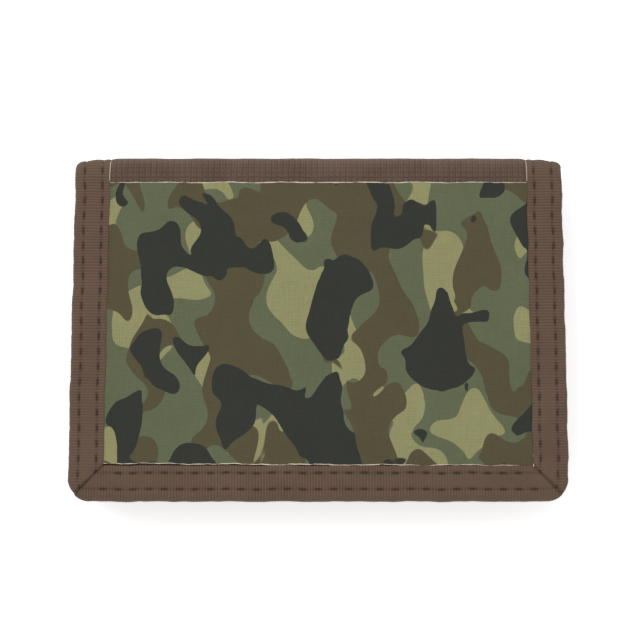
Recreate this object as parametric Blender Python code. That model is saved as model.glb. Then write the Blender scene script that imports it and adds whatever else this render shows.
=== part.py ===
"""Trifold wallet, closed and lying on its back.

Roll-fold nylon wallet: a back panel, a top spine that carries the front flap, and a bottom spine that
carries the inner flap, which is tucked between the two.  X runs along the folds, +Y points to the top
fold, +Z up through the thickness.  The origin is the bottom centre of the closed wallet.
Lengths are in millimetres and turned into metres by MM when a mesh is made.
"""
import math

import bmesh
import bpy

MM = 0.001

# Driving dimensions of the closed wallet
WIDTH = 120.65
HEIGHT = 84.0
THICKNESS = 19.0
FOLD_INSET = 4.0          # how far the bottom fold lies inside the flap's lower edge
INNER_THICKNESS = 12.4    # height of the inner flap's outer face above the table
TIP_Y = 12.5              # free edge of the inner flap

# Cloth, tape and clearances
TAPE = 0.6                # binding tape thickness
TAPE_WIDTH = 8.6          # width of the binding on each face
CLOTH = 0.6
THIN_CLOTH = 0.4
GAP = 0.3
SPINE_DEPTH = 3.3         # outer to inner face of a spine
SPINE_END = 0.9           # a spine stops this far short of its crease

HALF_W = WIDTH / 2
TOP_Y = HEIGHT / 2
BOTTOM_Y = -HEIGHT / 2
LOWER_FOLD_Y = BOTTOM_Y + FOLD_INSET
PANEL_TOP_Y = TOP_Y - SPINE_DEPTH - GAP
PANEL_LOW_Y = LOWER_FOLD_Y + SPINE_DEPTH + GAP
TAPE_INNER_X = HALF_W - TAPE_WIDTH
INSIDE_X = TAPE_INNER_X - GAP
WEB_INNER_X = HALF_W - TAPE - GAP

# Heights of the layers of the back panel
BACK_EDGE_Z = TAPE + GAP              # cloth edge held inside the binding
STIFFENER_Z = BACK_EDGE_Z + CLOTH + GAP
LINING_Z = 3.6
POCKET_EDGE_Z = LINING_Z + 0.5 + GAP
POCKET_Z = 5.9
ZIP_TAPE_Z = 5.2

# Zipper in the coin pocket
ZIP_Y = 33.0
ZIP_WINDOW = 3.9          # half width of the opening in the pocket cloth
POCKET_X = 47.0
POCKET_LOW_Y = -22.0
POCKET_TOP_Y = 38.2
COIL_INNER = 0.85         # half the gap between the coil rows
COIL_WIDTH = 1.3
COIL_HEIGHT = 1.0
ZIP_HALF_LENGTH = 43.0
SLIDER_X = 38.5           # slider centre with the pocket closed
PULL_LENGTH = 6.3         # pull pin axis to the pull's free end

# Heights of the layers of the front flap
FLAP_TAPE_Z = THICKNESS - TAPE
PRINT_Z = 18.2
FLAP_SHELL_Z = 17.3
FLAP_PADDING_Z = 16.6
FLAP_LINING_Z = 15.9
FLAP_TAPE_LOW_Z = FLAP_LINING_Z - GAP - TAPE

# Inner flap
INNER_LOW_Z = 7.4
INNER_TIP_Z = 9.3
INNER_BEND_Y = -12.0      # the flap is full thickness up to here, then tapers to its tip
INNER_HALF_W = HALF_W - 1.0
RIM = 8.0
TIP_RIM = 7.0

CORNER_R = 5.5            # rounded lower corners of the flaps

NYLON = ("brown_nylon", (0.125, 0.078, 0.055), 0.75)
TAPE_BROWN = ("brown_tape", (0.118, 0.076, 0.053), 0.8)
LINING = ("brown_lining", (0.085, 0.055, 0.040), 0.7)
PRINT = ("printed_cloth", (0.125, 0.130, 0.070), 0.85)
FOAM = ("foam", (0.30, 0.29, 0.27), 0.9)
HOOK = ("hook_and_loop", (0.030, 0.022, 0.018), 0.9)
CLEAR = ("clear_vinyl", (0.80, 0.82, 0.82), 0.1)
ZIP_CLOTH = ("zip_cloth", (0.060, 0.042, 0.032), 0.75)
ZIP_COIL = ("zip_coil", (0.050, 0.035, 0.028), 0.4)
METAL = ("zip_metal", (0.35, 0.33, 0.30), 0.35)

materials = {}


def clear_scene():
    for item in list(bpy.data.objects):
        bpy.data.objects.remove(item, do_unlink=True)


def material(finish):
    name, colour, roughness = finish
    if name not in materials:
        made = bpy.data.materials.new(name)
        made.use_nodes = True
        shader = made.node_tree.nodes["Principled BSDF"]
        shader.inputs["Base Color"].default_value = (*colour, 1.0)
        shader.inputs["Roughness"].default_value = roughness
        shader.inputs["Metallic"].default_value = 1.0 if finish is METAL else 0.0
        made.diffuse_color = (*colour, 1.0)
        materials[name] = made
    return materials[name]


def finish_object(name, bm, finish, pivot=(0.0, 0.0, 0.0)):
    """Write the mesh, with its origin at pivot, and link the object."""
    bmesh.ops.recalc_face_normals(bm, faces=bm.faces)
    for vert in bm.verts:
        vert.co = [(value - shift) * MM for value, shift in zip(vert.co, pivot)]
    mesh = bpy.data.meshes.new(name)
    bm.to_mesh(mesh)
    bm.free()
    made = bpy.data.objects.new(name, mesh)
    made.location = [value * MM for value in pivot]
    made.data.materials.append(material(finish))
    bpy.context.collection.objects.link(made)
    return made


def prism(name, outline, place, ends, finish, pivot=(0.0, 0.0, 0.0)):
    """Join an outline at two ends; place(u, v, end) gives a corner's position."""
    bm = bmesh.new()
    rings = []
    for end in ends:
        rings.append([bm.verts.new(place(u, v, end)) for u, v in outline])
    count = len(outline)
    for k in range(count):
        after = (k + 1) % count
        bm.faces.new((rings[0][k], rings[0][after], rings[1][after], rings[1][k]))
    for ring in rings:
        bm.faces.new(ring)
    return finish_object(name, bm, finish, pivot)


def along_x(name, outline, x0, x1, finish, pivot=(0.0, 0.0, 0.0)):
    """A (y, z) outline drawn out along X."""
    return prism(name, outline, lambda y, z, x: (x, y, z), (x0, x1), finish, pivot)


def box(name, x, y, z, finish):
    outline = [(y[0], z[0]), (y[1], z[0]), (y[1], z[1]), (y[0], z[1])]
    return along_x(name, outline, x[0], x[1], finish)


def channel(low, high, low_leg, high_leg, web=TAPE, width=TAPE_WIDTH):
    """Section of a folded binding: d inward from the edge, z up."""
    return [
        (0.0, low), (width, low), (width, low + low_leg), (web, low + low_leg),
        (web, high - high_leg), (width, high - high_leg), (width, high), (0.0, high),
    ]


def side_binding(name, side, section, y0, y1, mitre=False):
    """Binding along Y on the left (side -1) or right (side +1) edge."""
    def place(d, z, end):
        y = end + (d + GAP if mitre and end == y0 else 0.0)
        return (side * (HALF_W - d), y, z)
    return prism(name, section, place, (y0, y1), TAPE_BROWN)


def spine_binding(name, side, outer_y, inward, z0, z1):
    """Binding on a spine's end; its legs lie on the outer and the inner face."""
    section = channel(0.0, SPINE_DEPTH, TAPE, TAPE)
    def place(d, depth, z):
        return (side * (HALF_W - d), outer_y + inward * depth, z)
    return prism(name, section, place, (z0, z1), TAPE_BROWN)


def crowned_sheet(name, x, y, edge_z, crown_z, thickness, border, slope, finish):
    """A sheet whose border lies at edge_z and whose middle lies at crown_z."""
    def stations(span):
        low, high = span
        return (low, low + border, low + border + slope, high - border - slope, high - border, high)
    xs = stations(x)
    ys = stations(y)
    bm = bmesh.new()
    layers = []
    for lift in (0.0, thickness):
        grid = []
        for i, px in enumerate(xs):
            row = []
            for j, py in enumerate(ys):
                inside = 1 < i < 4 and 1 < j < 4
                row.append(bm.verts.new((px, py, (crown_z if inside else edge_z) + lift)))
            grid.append(row)
        layers.append(grid)
    last = len(xs) - 1
    for grid in layers:
        for i in range(last):
            for j in range(last):
                corners = (grid[i][j], grid[i + 1][j], grid[i + 1][j + 1], grid[i][j + 1])
                bm.faces.new(corners)
    rim = [(i, 0) for i in range(last)] + [(last, j) for j in range(last)]
    rim += [(i, last) for i in range(last, 0, -1)] + [(0, j) for j in range(last, 0, -1)]
    for k, (i, j) in enumerate(rim):
        m, n = rim[(k + 1) % len(rim)]
        bm.faces.new((layers[0][i][j], layers[0][m][n], layers[1][m][n], layers[1][i][j]))
    return finish_object(name, bm, finish)


def back_panel():
    """Shell, stiffener and lining of the back, with its side bindings."""
    y = (PANEL_LOW_Y, PANEL_TOP_Y)
    crowned_sheet("back_shell", (-WEB_INNER_X, WEB_INNER_X), y, BACK_EDGE_Z, 0.0, CLOTH,
                  TAPE_WIDTH, 2.0, NYLON)
    box("back_stiffener", (-INSIDE_X, INSIDE_X), y, (STIFFENER_Z, STIFFENER_Z + 0.7), FOAM)
    box("back_lining", (-WEB_INNER_X, HALF_W - 1.2), y, (LINING_Z, LINING_Z + 0.5), LINING)
    left = channel(0.0, LINING_Z + 0.5 + GAP + TAPE, TAPE, TAPE)
    right = channel(0.0, BACK_EDGE_Z + CLOTH + GAP + TAPE, TAPE, TAPE)
    side_binding("back_binding_left", -1, left, y[0], y[1])
    side_binding("back_binding_right", 1, right, y[0], y[1])


def coin_pocket():
    """Patch pocket on the back lining: lower panel and the strip above the zipper."""
    border = 5.0
    low_y = ZIP_Y - ZIP_WINDOW
    high_y = ZIP_Y + ZIP_WINDOW
    step = [
        (POCKET_LOW_Y, POCKET_EDGE_Z), (POCKET_LOW_Y + border, POCKET_EDGE_Z),
        (POCKET_LOW_Y + border + 2.0, POCKET_Z), (low_y, POCKET_Z),
    ]
    outline = step + [(y, z + 0.5) for y, z in reversed(step)]
    along_x("coin_pocket_panel", outline, -POCKET_X, POCKET_X, NYLON)
    box("coin_pocket_strip", (-POCKET_X, POCKET_X), (high_y, POCKET_TOP_Y),
        (POCKET_Z, POCKET_Z + 0.5), NYLON)


def zipper():
    """Tapes, coil rows and stops on the back; the slider and its pull move."""
    tape_top = ZIP_TAPE_Z + THIN_CLOTH
    for label, way in (("lower", -1), ("upper", 1)):
        inner = ZIP_Y + way * COIL_INNER
        outer = ZIP_Y + way * (ZIP_WINDOW + 1.2)
        span = (min(inner, outer), max(inner, outer))
        box("zipper_tape_" + label, (-POCKET_X, POCKET_X), span, (ZIP_TAPE_Z, tape_top), ZIP_CLOTH)
        coil = ZIP_Y + way * (COIL_INNER + COIL_WIDTH)
        span = (min(inner, coil), max(inner, coil))
        coil_z = (tape_top + GAP, tape_top + GAP + COIL_HEIGHT)
        box("zipper_coil_" + label, (-ZIP_HALF_LENGTH, ZIP_HALF_LENGTH), span, coil_z, ZIP_COIL)
    reach = COIL_INNER + COIL_WIDTH
    for label, side in (("start", -1), ("end", 1)):
        x = sorted((side * (ZIP_HALF_LENGTH + GAP), side * (ZIP_HALF_LENGTH + 2.3)))
        z = (tape_top + GAP, tape_top + GAP + COIL_HEIGHT + 0.3)
        box("zipper_stop_" + label, x, (ZIP_Y - reach, ZIP_Y + reach), z, METAL)
    zipper_slider(tape_top)


def zipper_slider(tape_top):
    coil_top = tape_top + GAP + COIL_HEIGHT
    plate_low = coil_top + GAP
    plate_top = plate_low + 0.8
    half = COIL_INNER + COIL_WIDTH + GAP + 0.6
    inside = half - 0.6
    post = COIL_INNER - GAP
    bottom_z = LINING_Z + 0.5 + GAP
    section = [
        (-half, plate_top), (half, plate_top), (half, tape_top + GAP), (inside, tape_top + GAP),
        (inside, plate_low), (post, plate_low), (post, bottom_z + 0.5), (half, bottom_z + 0.5),
        (half, bottom_z), (-half, bottom_z), (-half, bottom_z + 0.5), (-post, bottom_z + 0.5),
        (-post, plate_low), (-inside, plate_low), (-inside, tape_top + GAP), (-half, tape_top + GAP),
    ]
    length = 7.6
    pivot = (SLIDER_X, ZIP_Y, plate_top)
    slider = along_x("zipper_slider", [(ZIP_Y + y, z) for y, z in section],
                     SLIDER_X - length / 2, SLIDER_X + length / 2, METAL, pivot)
    bail_and_pull(slider, plate_top)


def bail_and_pull(slider, plate_top):
    """A low bridge on the slider holds the pull's eye."""
    axis_z = plate_top + 0.9
    foot_z = plate_top - 0.2
    inner, outer = 1.3, 2.2
    low, high = axis_z + 0.65, axis_z + 1.15
    bail = [(-outer, foot_z), (-inner, foot_z), (-inner, low), (inner, low),
            (inner, foot_z), (outer, foot_z), (outer, high), (-outer, high)]
    bridge = along_bail("slider_bridge", bail)
    union = slider.modifiers.new("bridge", "BOOLEAN")
    union.operation = "UNION"
    union.solver = "EXACT"
    union.object = bridge
    zipper_pull(axis_z)


def along_bail(name, outline):
    """Bridge outline in (x, z) drawn across the slider's middle, kept as a hidden shape."""
    def place(x, z, y):
        return (SLIDER_X + x, y, z)
    made = prism(name, outline, place, (ZIP_Y - 0.5, ZIP_Y + 0.5), METAL)
    made.hide_render = True
    made.display_type = "WIRE"
    return made


def zipper_pull(axis_z):
    """A flat tab with a square eye round the bridge, lying towards -X."""
    half = 1.9
    thin = 0.4
    clip = 0.8
    bar = 0.3
    eye_x = (-3.1, -bar)
    eye_y = 1.0
    pivot = (SLIDER_X, ZIP_Y, axis_z)
    outer = [(bar, -half), (bar, half), (clip - PULL_LENGTH, half), (-PULL_LENGTH, half - clip),
             (-PULL_LENGTH, clip - half), (clip - PULL_LENGTH, -half)]
    hole = [(eye_x[1], -eye_y), (eye_x[1], eye_y), (eye_x[0], eye_y), (eye_x[0], -eye_y)]

    def place(x, y, z):
        return (SLIDER_X + x, ZIP_Y + y, axis_z + z)
    tab = prism("zipper_pull", outer, place, (-thin, thin), METAL, pivot)
    cutter = prism("pull_eye", hole, place, (-thin - 1.0, thin + 1.0), METAL, pivot)
    subtract(tab, cutter)


def subtract(body, cutter):
    """Cut the hidden cutter out of the body."""
    cutter.hide_render = True
    cutter.display_type = "WIRE"
    cut = body.modifiers.new("cut", "BOOLEAN")
    cut.operation = "DIFFERENCE"
    cut.solver = "EXACT"
    cut.object = cutter


def spine(label, outer_y, inward, top_z):
    """Shell, lining and bindings of a spine; inward is the way to the wallet's inside."""
    z = (SPINE_END, top_z - SPINE_END)
    shell = sorted((outer_y + inward * (TAPE + GAP), outer_y + inward * (TAPE + GAP + CLOTH)))
    lining_depth = SPINE_DEPTH - TAPE - GAP
    lining = sorted((outer_y + inward * (lining_depth - THIN_CLOTH), outer_y + inward * lining_depth))
    x = (-WEB_INNER_X, WEB_INNER_X)
    box(label + "_spine_shell", x, shell, z, NYLON)
    box(label + "_spine_lining", x, lining, z, LINING)
    spine_binding(label + "_spine_binding_left", -1, outer_y, inward, z[0], z[1])
    spine_binding(label + "_spine_binding_right", 1, outer_y, inward, z[0], z[1])


def rounded_slab(name, half_w, edge_y, inward):
    """Hidden slab with two rounded corners at edge_y, reaching well past the other sides."""
    far_y = edge_y + inward * HEIGHT * 1.5
    steps = 6
    arc = []
    for k in range(steps + 1):
        angle = math.radians(90.0 * k / steps)
        dx = CORNER_R * (1.0 - math.sin(angle))
        dy = CORNER_R * (1.0 - math.cos(angle))
        arc.append((half_w - dx, edge_y + inward * dy))
    outline = arc + [(half_w, far_y), (-half_w, far_y)] + [(-x, y) for x, y in reversed(arc)]

    def place(x, y, z):
        return (x, y, z)
    slab = prism(name, outline, place, (-5.0, THICKNESS + 5.0), TAPE_BROWN)
    slab.hide_render = True
    slab.display_type = "WIRE"
    return slab


def trim(parts, slab):
    """Keep only what lies inside the hidden slab."""
    for part in parts:
        cut = part.modifiers.new("corners", "BOOLEAN")
        cut.operation = "INTERSECT"
        cut.solver = "EXACT"
        cut.object = slab


def front_flap():
    """Printed panel, shell, padding and lining of the front, with its bindings."""
    lower_web = BOTTOM_Y + TAPE + GAP
    lower_inside = BOTTOM_Y + TAPE_WIDTH + GAP
    box("printed_panel", (-INSIDE_X, INSIDE_X), (lower_inside, TOP_Y - 5.8),
        (PRINT_Z, PRINT_Z + 0.5), PRINT)
    box("front_shell", (-WEB_INNER_X, WEB_INNER_X), (lower_web, PANEL_TOP_Y),
        (FLAP_SHELL_Z, FLAP_SHELL_Z + CLOTH), NYLON)
    box("front_padding", (-INSIDE_X, INSIDE_X), (lower_inside, PANEL_TOP_Y),
        (FLAP_PADDING_Z, FLAP_PADDING_Z + THIN_CLOTH), FOAM)
    box("front_lining", (-WEB_INNER_X, HALF_W - 1.2), (lower_web, PANEL_TOP_Y),
        (FLAP_LINING_Z, FLAP_LINING_Z + THIN_CLOTH), LINING)
    full = channel(FLAP_TAPE_LOW_Z, THICKNESS, TAPE, TAPE)
    shell_only = channel(FLAP_PADDING_Z, THICKNESS, THIN_CLOTH, TAPE)
    left = side_binding("front_binding_left", -1, full, BOTTOM_Y, PANEL_TOP_Y, mitre=True)
    right = side_binding("front_binding_right", 1, shell_only, BOTTOM_Y, PANEL_TOP_Y, mitre=True)

    def place(d, z, side):
        return (side * (HALF_W - d - GAP), BOTTOM_Y + d, z)
    bottom = prism("front_binding_bottom", full, place, (-1, 1), TAPE_BROWN)
    slab = rounded_slab("flap_corners", HALF_W, BOTTOM_Y, 1)
    trim((left, right, bottom), slab)


def card_slots():
    """Three stepped pocket fronts under the flap's lining, each lapping over the last."""
    mouths = (28.0, 16.5, 5.0)
    depth = 15.0
    low = 14.7
    for number, mouth in enumerate(mouths, start=1):
        tail = mouth - depth if number < len(mouths) else mouth - 21.0
        outline = [(mouth, low), (mouth, low + 0.35), (tail, low + 0.9), (tail, low + 0.55)]
        along_x("card_slot_" + str(number), outline, -46.0, 46.0, NYLON)


def closure():
    """Hook patch under the flap and loop patch on the inner flap."""
    box("hook_patch", (-32.0, 32.0), (-32.8, -18.0), (14.3, FLAP_LINING_Z - GAP), HOOK)
    box("loop_patch", (-36.0, 36.0), (-32.5, -13.0),
        (INNER_THICKNESS + GAP, INNER_THICKNESS + GAP + 1.2), HOOK)


def inner_flap():
    """Shell, lining, window and rims of the inner flap, thick at the fold and thin at the tip."""
    root = PANEL_LOW_Y
    top = INNER_THICKNESS
    shell_x = INNER_HALF_W - RIM - GAP
    rim_start = TIP_Y - TIP_RIM
    slope = (INNER_TIP_Z - top) / (rim_start - INNER_BEND_Y)
    end = rim_start - GAP
    end_z = top + slope * (end - INNER_BEND_Y)
    shell = [(root, top - 0.5), (INNER_BEND_Y, top - 0.5), (end, end_z - 0.5),
             (end, end_z), (INNER_BEND_Y, top), (root, top)]
    along_x("inner_shell", shell, -shell_x, shell_x, NYLON)
    box("inner_lining", (-shell_x, shell_x), (root, end), (8.1, 8.5), LINING)
    window_frame(shell_x, root, end)
    rim = [(root, INNER_LOW_Z), (end, INNER_LOW_Z), (end, end_z), (INNER_BEND_Y, top), (root, top)]
    for label, side in (("left", -1), ("right", 1)):
        x = sorted((side * INNER_HALF_W, side * (INNER_HALF_W - RIM)))
        along_x("inner_binding_" + label, rim, x[0], x[1], TAPE_BROWN)
    tip = box("inner_binding_tip", (-INNER_HALF_W, INNER_HALF_W), (rim_start, TIP_Y),
              (INNER_LOW_Z, INNER_TIP_Z), TAPE_BROWN)
    trim((tip,), rounded_slab("tip_corners", INNER_HALF_W, TIP_Y, -1))


def window_frame(shell_x, root, end):
    """Cloth frame with a clear pane set in its opening."""
    pane_x = 41.0
    pane_y = (root + 7.0, end - 4.0)
    z = (INNER_LOW_Z, INNER_LOW_Z + THIN_CLOTH)
    frame = box("id_window_frame", (-shell_x, shell_x), (root, end), z, NYLON)
    cutter = box("window_opening", (-pane_x, pane_x), pane_y, (z[0] - 1.0, z[1] + 1.0), CLEAR)
    subtract(frame, cutter)
    box("id_window", (-pane_x + GAP, pane_x - GAP), (pane_y[0] + GAP, pane_y[1] - GAP),
        (z[0] + 0.03, z[1] - 0.03), CLEAR)


def build():
    clear_scene()
    back_panel()
    coin_pocket()
    zipper()
    spine("top", TOP_Y, -1, THICKNESS)
    spine("bottom", LOWER_FOLD_Y, 1, INNER_THICKNESS)
    front_flap()
    card_slots()
    closure()
    inner_flap()


build()
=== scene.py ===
"""Looks of the trifold wallet: woven cloth, ribbed binding, stitches, print, pockets and zipper.

The CAD frame gives every place.  Lengths below are in millimetres in the row frame, with X along the
folds, +Y to the top fold and +Z up; MM turns them into metres when a mesh is made.
The outer skin follows one closed line in the (y, z) plane, from the front flap's free edge over the top
fold, along the back, round the bottom fold and out to the inner flap's tip.
"""
import math

import bmesh
import bpy
import numpy as np
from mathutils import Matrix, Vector


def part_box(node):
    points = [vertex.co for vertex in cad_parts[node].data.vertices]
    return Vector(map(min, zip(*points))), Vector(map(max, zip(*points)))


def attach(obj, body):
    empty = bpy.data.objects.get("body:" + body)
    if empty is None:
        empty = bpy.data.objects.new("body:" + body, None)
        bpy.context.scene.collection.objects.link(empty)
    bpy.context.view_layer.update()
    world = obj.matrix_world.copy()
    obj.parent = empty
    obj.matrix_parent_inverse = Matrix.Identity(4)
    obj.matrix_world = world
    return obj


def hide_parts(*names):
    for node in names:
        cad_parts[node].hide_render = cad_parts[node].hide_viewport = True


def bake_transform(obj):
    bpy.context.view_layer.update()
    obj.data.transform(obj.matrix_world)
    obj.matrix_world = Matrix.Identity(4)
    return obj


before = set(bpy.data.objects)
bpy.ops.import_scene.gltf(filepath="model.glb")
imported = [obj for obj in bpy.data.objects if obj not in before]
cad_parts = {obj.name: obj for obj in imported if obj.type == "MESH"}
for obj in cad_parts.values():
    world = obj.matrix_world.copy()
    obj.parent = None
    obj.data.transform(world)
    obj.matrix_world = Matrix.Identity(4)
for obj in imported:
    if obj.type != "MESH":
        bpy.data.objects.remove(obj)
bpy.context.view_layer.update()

MM = 0.001


def box_mm(node):
    """Low and high corner of a CAD node in millimetres."""
    low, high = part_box(node)
    return np.array(low) / MM, np.array(high) / MM


# ---------------------------------------------------------------- sizes from the frame
FRONT_LOW, FRONT_HIGH = box_mm("front_binding_left")
PRINT_LOW, PRINT_HIGH = box_mm("printed_panel")
TIP_HIGH = box_mm("inner_binding_tip")[1]

HALF_W = box_mm("front_binding_right")[1][0]
EDGE_Y = box_mm("front_binding_bottom")[0][1]
PANEL_TOP = PRINT_HIGH[1] - 0.7   # the visible cloth sits a little lower than the CAD sheet
PANEL_LOW = PRINT_LOW[1] - 0.3
THICK = FRONT_HIGH[2]
TOP_Y = box_mm("top_spine_binding_left")[1][1]
LOWER_Y = box_mm("bottom_spine_binding_left")[0][1]
INNER_Z = box_mm("inner_shell")[1][2]
TIP_Y = TIP_HIGH[1]
TIP_Z = TIP_HIGH[2]
INNER_HALF = TIP_HIGH[0]
TAPE_WIDTH = FRONT_HIGH[0] - FRONT_LOW[0]
BEND_Y = -12.0                    # where the inner flap starts to slope down to its tip

# ---------------------------------------------------------------- cloth and sewing
TAPE_LIFT = 0.4          # tape face above the skin line
TAPE_THICK = 0.4
TAPE_ROUND = 1.5         # how far in the tape starts to turn round the edge
EDGE_IN = 0.12           # the tape's edge lies this far inside the CAD edge
CORNER = 5.5             # radius of the wallet's corners
RIB = 0.7                # pitch of the tape's ribs
RIB_HEIGHT = 0.075
ROWS = (2.5, 6.8)        # the two stitch rows, in from the edge
STITCH_PITCH = 3.7
STITCH_LENGTH = 1.5
CLOTH_IN = 1.2           # the cloth's sides end this far inside the tape
SHELL_THICK = 0.5
LINING_THICK = 0.35
LINING_GAP = 1.25        # lining above the underside of the sewn layers
STEP = 0.14              # spacing of the tape's rings along its length


# ---------------------------------------------------------------- small tools
def smooth_noise(x, seed, scale):
    """Seeded wavy noise from -1 to 1 along one number."""
    rng = np.random.default_rng(seed)
    total = np.zeros_like(np.asarray(x, float))
    weight = 0.0
    for octave in range(4):
        phase = rng.uniform(0, 2 * np.pi)
        bend = rng.uniform(0.7, 1.3)
        strength = 0.6 ** octave
        turns = np.asarray(x) * 2 * np.pi * bend * 1.9 ** octave / scale
        total = total + strength * np.sin(turns + phase)
        weight += strength
    return total / weight


def smoothstep(edge0, edge1, x):
    """0 below edge0, 1 above edge1, and a smooth rise between."""
    t = np.clip((np.asarray(x, float) - edge0) / (edge1 - edge0), 0.0, 1.0)
    return t * t * (3 - 2 * t)


def mesh_object(name, verts, faces, material, smooth=True):
    """Make a mesh from positions in millimetres."""
    mesh = bpy.data.meshes.new(name)
    mesh.from_pydata((np.asarray(verts, float) * MM).tolist(), [], faces)
    mesh.validate()
    if smooth:
        mesh.shade_smooth()
    mesh.materials.append(material)
    made = bpy.data.objects.new(name, mesh)
    bpy.context.collection.objects.link(made)
    return made


def grid_faces(rows, cols, start=0, closed=False, flip=False):
    """Quads over a grid of rows x cols vertices, numbered row by row."""
    i, j = np.meshgrid(np.arange(rows - 1), np.arange(cols if closed else cols - 1), indexing="ij")
    a = start + i * cols + j
    b = start + i * cols + (j + 1) % cols
    c = b + cols
    d = a + cols
    quads = np.stack([a, b, c, d] if not flip else [a, d, c, b], axis=-1).reshape(-1, 4)
    return quads.tolist()


def slab(name, outer, inner, material):
    """Closed sheet between two grids of points (rows, cols, 3)."""
    rows, cols = outer.shape[:2]
    count = rows * cols
    faces = grid_faces(rows, cols)
    faces += grid_faces(rows, cols, start=count, flip=True)
    rim = [(0, j) for j in range(cols)] + [(i, cols - 1) for i in range(1, rows)]
    rim += [(rows - 1, j) for j in range(cols - 2, -1, -1)] + [(i, 0) for i in range(rows - 2, 0, -1)]
    numbers = [i * cols + j for i, j in rim]
    for k, here in enumerate(numbers):
        after = numbers[(k + 1) % len(numbers)]
        faces.append([after, here, count + here, count + after])
    verts = np.concatenate([outer.reshape(-1, 3), inner.reshape(-1, 3)])
    made = mesh_object(name, verts, faces, material)
    made.data.set_sharp_from_angle(angle=math.radians(50))
    return made


def join(name, pieces, material):
    """One object from several vertex and face lists."""
    verts = []
    faces = []
    for points, quads in pieces:
        base = sum(len(v) for v in verts)
        verts.append(np.asarray(points, float))
        faces += [[base + k for k in face] for face in quads]
    return mesh_object(name, np.concatenate(verts), faces, material)


# ---------------------------------------------------------------- the skin line
class SkinLine:
    """A polyline in (y, z) with rounded corners, sampled by its length."""

    def __init__(self, corners, radii):
        points = [np.array(c, float) for c in corners]
        line = [points[0]]
        for k in range(1, len(points) - 1):
            before = points[k - 1] - points[k]
            after = points[k + 1] - points[k]
            before /= np.linalg.norm(before)
            after /= np.linalg.norm(after)
            half = math.acos(np.clip(before @ after, -1, 1)) / 2
            radius = radii[k - 1]
            reach = radius / math.tan(half)
            middle = (before + after) / np.linalg.norm(before + after)
            centre = points[k] + middle * radius / math.sin(half)
            start = points[k] + before * reach - centre
            stop = points[k] + after * reach - centre
            sweep = math.pi - 2 * half
            steps = max(4, int(sweep * radius / 0.2))
            for n in range(steps + 1):
                t = n / steps
                arc = math.sin((1 - t) * sweep) * start + math.sin(t * sweep) * stop
                line.append(centre + arc / math.sin(sweep))
        line.append(points[-1])
        line = np.array(line)
        keep = np.concatenate([[True], np.linalg.norm(np.diff(line, axis=0), axis=1) > 1e-6])
        self.line = line[keep]
        self.s = np.concatenate([[0], np.cumsum(np.linalg.norm(np.diff(self.line, axis=0), axis=1))])
        self.length = self.s[-1]

    def at(self, s):
        y = np.interp(s, self.s, self.line[:, 0])
        z = np.interp(s, self.s, self.line[:, 1])
        return y, z

    def frame_at(self, s):
        """Position, and the outward normal, at each length s."""
        y, z = self.at(s)
        span = 0.35
        y0, z0 = self.at(np.maximum(s - span, 0))
        y1, z1 = self.at(np.minimum(s + span, self.length))
        ty, tz = y1 - y0, z1 - z0
        size = np.hypot(ty, tz)
        return y, z, -tz / size, ty / size

    def where(self, y, z):
        """Length at the place on the line nearest to a point."""
        fine = np.linspace(0.0, self.length, 8000)
        line_y, line_z = self.at(fine)
        return float(fine[np.argmin(np.hypot(line_y - y, line_z - z))])


LINE_IN = TAPE_LIFT
SKIN = SkinLine(
    [(EDGE_Y, THICK - LINE_IN), (TOP_Y - LINE_IN, THICK - LINE_IN), (TOP_Y - LINE_IN, LINE_IN),
     (LOWER_Y + LINE_IN, LINE_IN), (LOWER_Y + LINE_IN, INNER_Z - LINE_IN),
     (BEND_Y, INNER_Z - LINE_IN), (TIP_Y, TIP_Z - LINE_IN)],
    [5.0, 5.0, 4.0, 3.6, 14.0])
TURN = {
    "top": SKIN.where(TOP_Y, THICK / 2),
    "back": SKIN.where(0.0, LINE_IN),
    "bottom": SKIN.where(LOWER_Y, INNER_Z / 2),
}
# (label, from, to, bodies, blend start, blend end) of the four strips of the skin
STRIPS = [
    ("flap", 0.0, TURN["top"], ("front_flap", "top_spine"),
     (0, TOP_Y - 6.5, THICK), (0, TOP_Y, THICK - 6.5)),
    ("top", TURN["top"], TURN["back"], ("top_spine", "back_panel"),
     (0, TOP_Y, 3.2), (0, TOP_Y - 2.8, 0.4)),
    ("bottom", TURN["back"], TURN["bottom"], ("back_panel", "bottom_spine"),
     (0, LOWER_Y + 4.0, 0), (0, LOWER_Y, 4.0)),
    ("inner", TURN["bottom"], SKIN.length, ("bottom_spine", "inner_flap"),
     (0, LOWER_Y, INNER_Z - 4.0), (0, LOWER_Y + 4.0, INNER_Z)),
]


def blend_strip(piece):
    """Bake a piece's placement into its mesh."""
    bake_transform(piece)


def stack(s):
    """Thickness of the sewn layers under the tape along the skin line."""
    marks = [0.0, TURN["top"] - 12, TURN["top"], TURN["top"] + 12, TURN["back"], TURN["bottom"] - 9,
             TURN["bottom"], TURN["bottom"] + 9, SKIN.where(BEND_Y, INNER_Z), SKIN.length]
    depths = [3.6, 3.6, 2.9, 4.2, 4.6, 4.2, 2.9, 4.6, 4.6, 1.5]
    return np.interp(s, marks, depths)


def stack_right(s):
    """On the right the tape holds only the shell, so the bill compartment stays open."""
    marks = [0.0, TURN["back"], TURN["bottom"] - 9, TURN["bottom"], TURN["bottom"] + 9,
             SKIN.where(BEND_Y, INNER_Z), SKIN.length]
    depths = [2.0, 2.0, 2.0, 2.9, 4.6, 4.6, 1.5]
    return np.interp(s, marks, depths)


# ---------------------------------------------------------------- materials
def linear(red, green, blue):
    """An sRGB colour from 0 to 255 as linear RGBA."""
    def channel(value):
        value /= 255.0
        return value / 12.92 if value <= 0.04045 else ((value + 0.055) / 1.055) ** 2.4
    return (channel(red), channel(green), channel(blue), 1.0)


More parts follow.
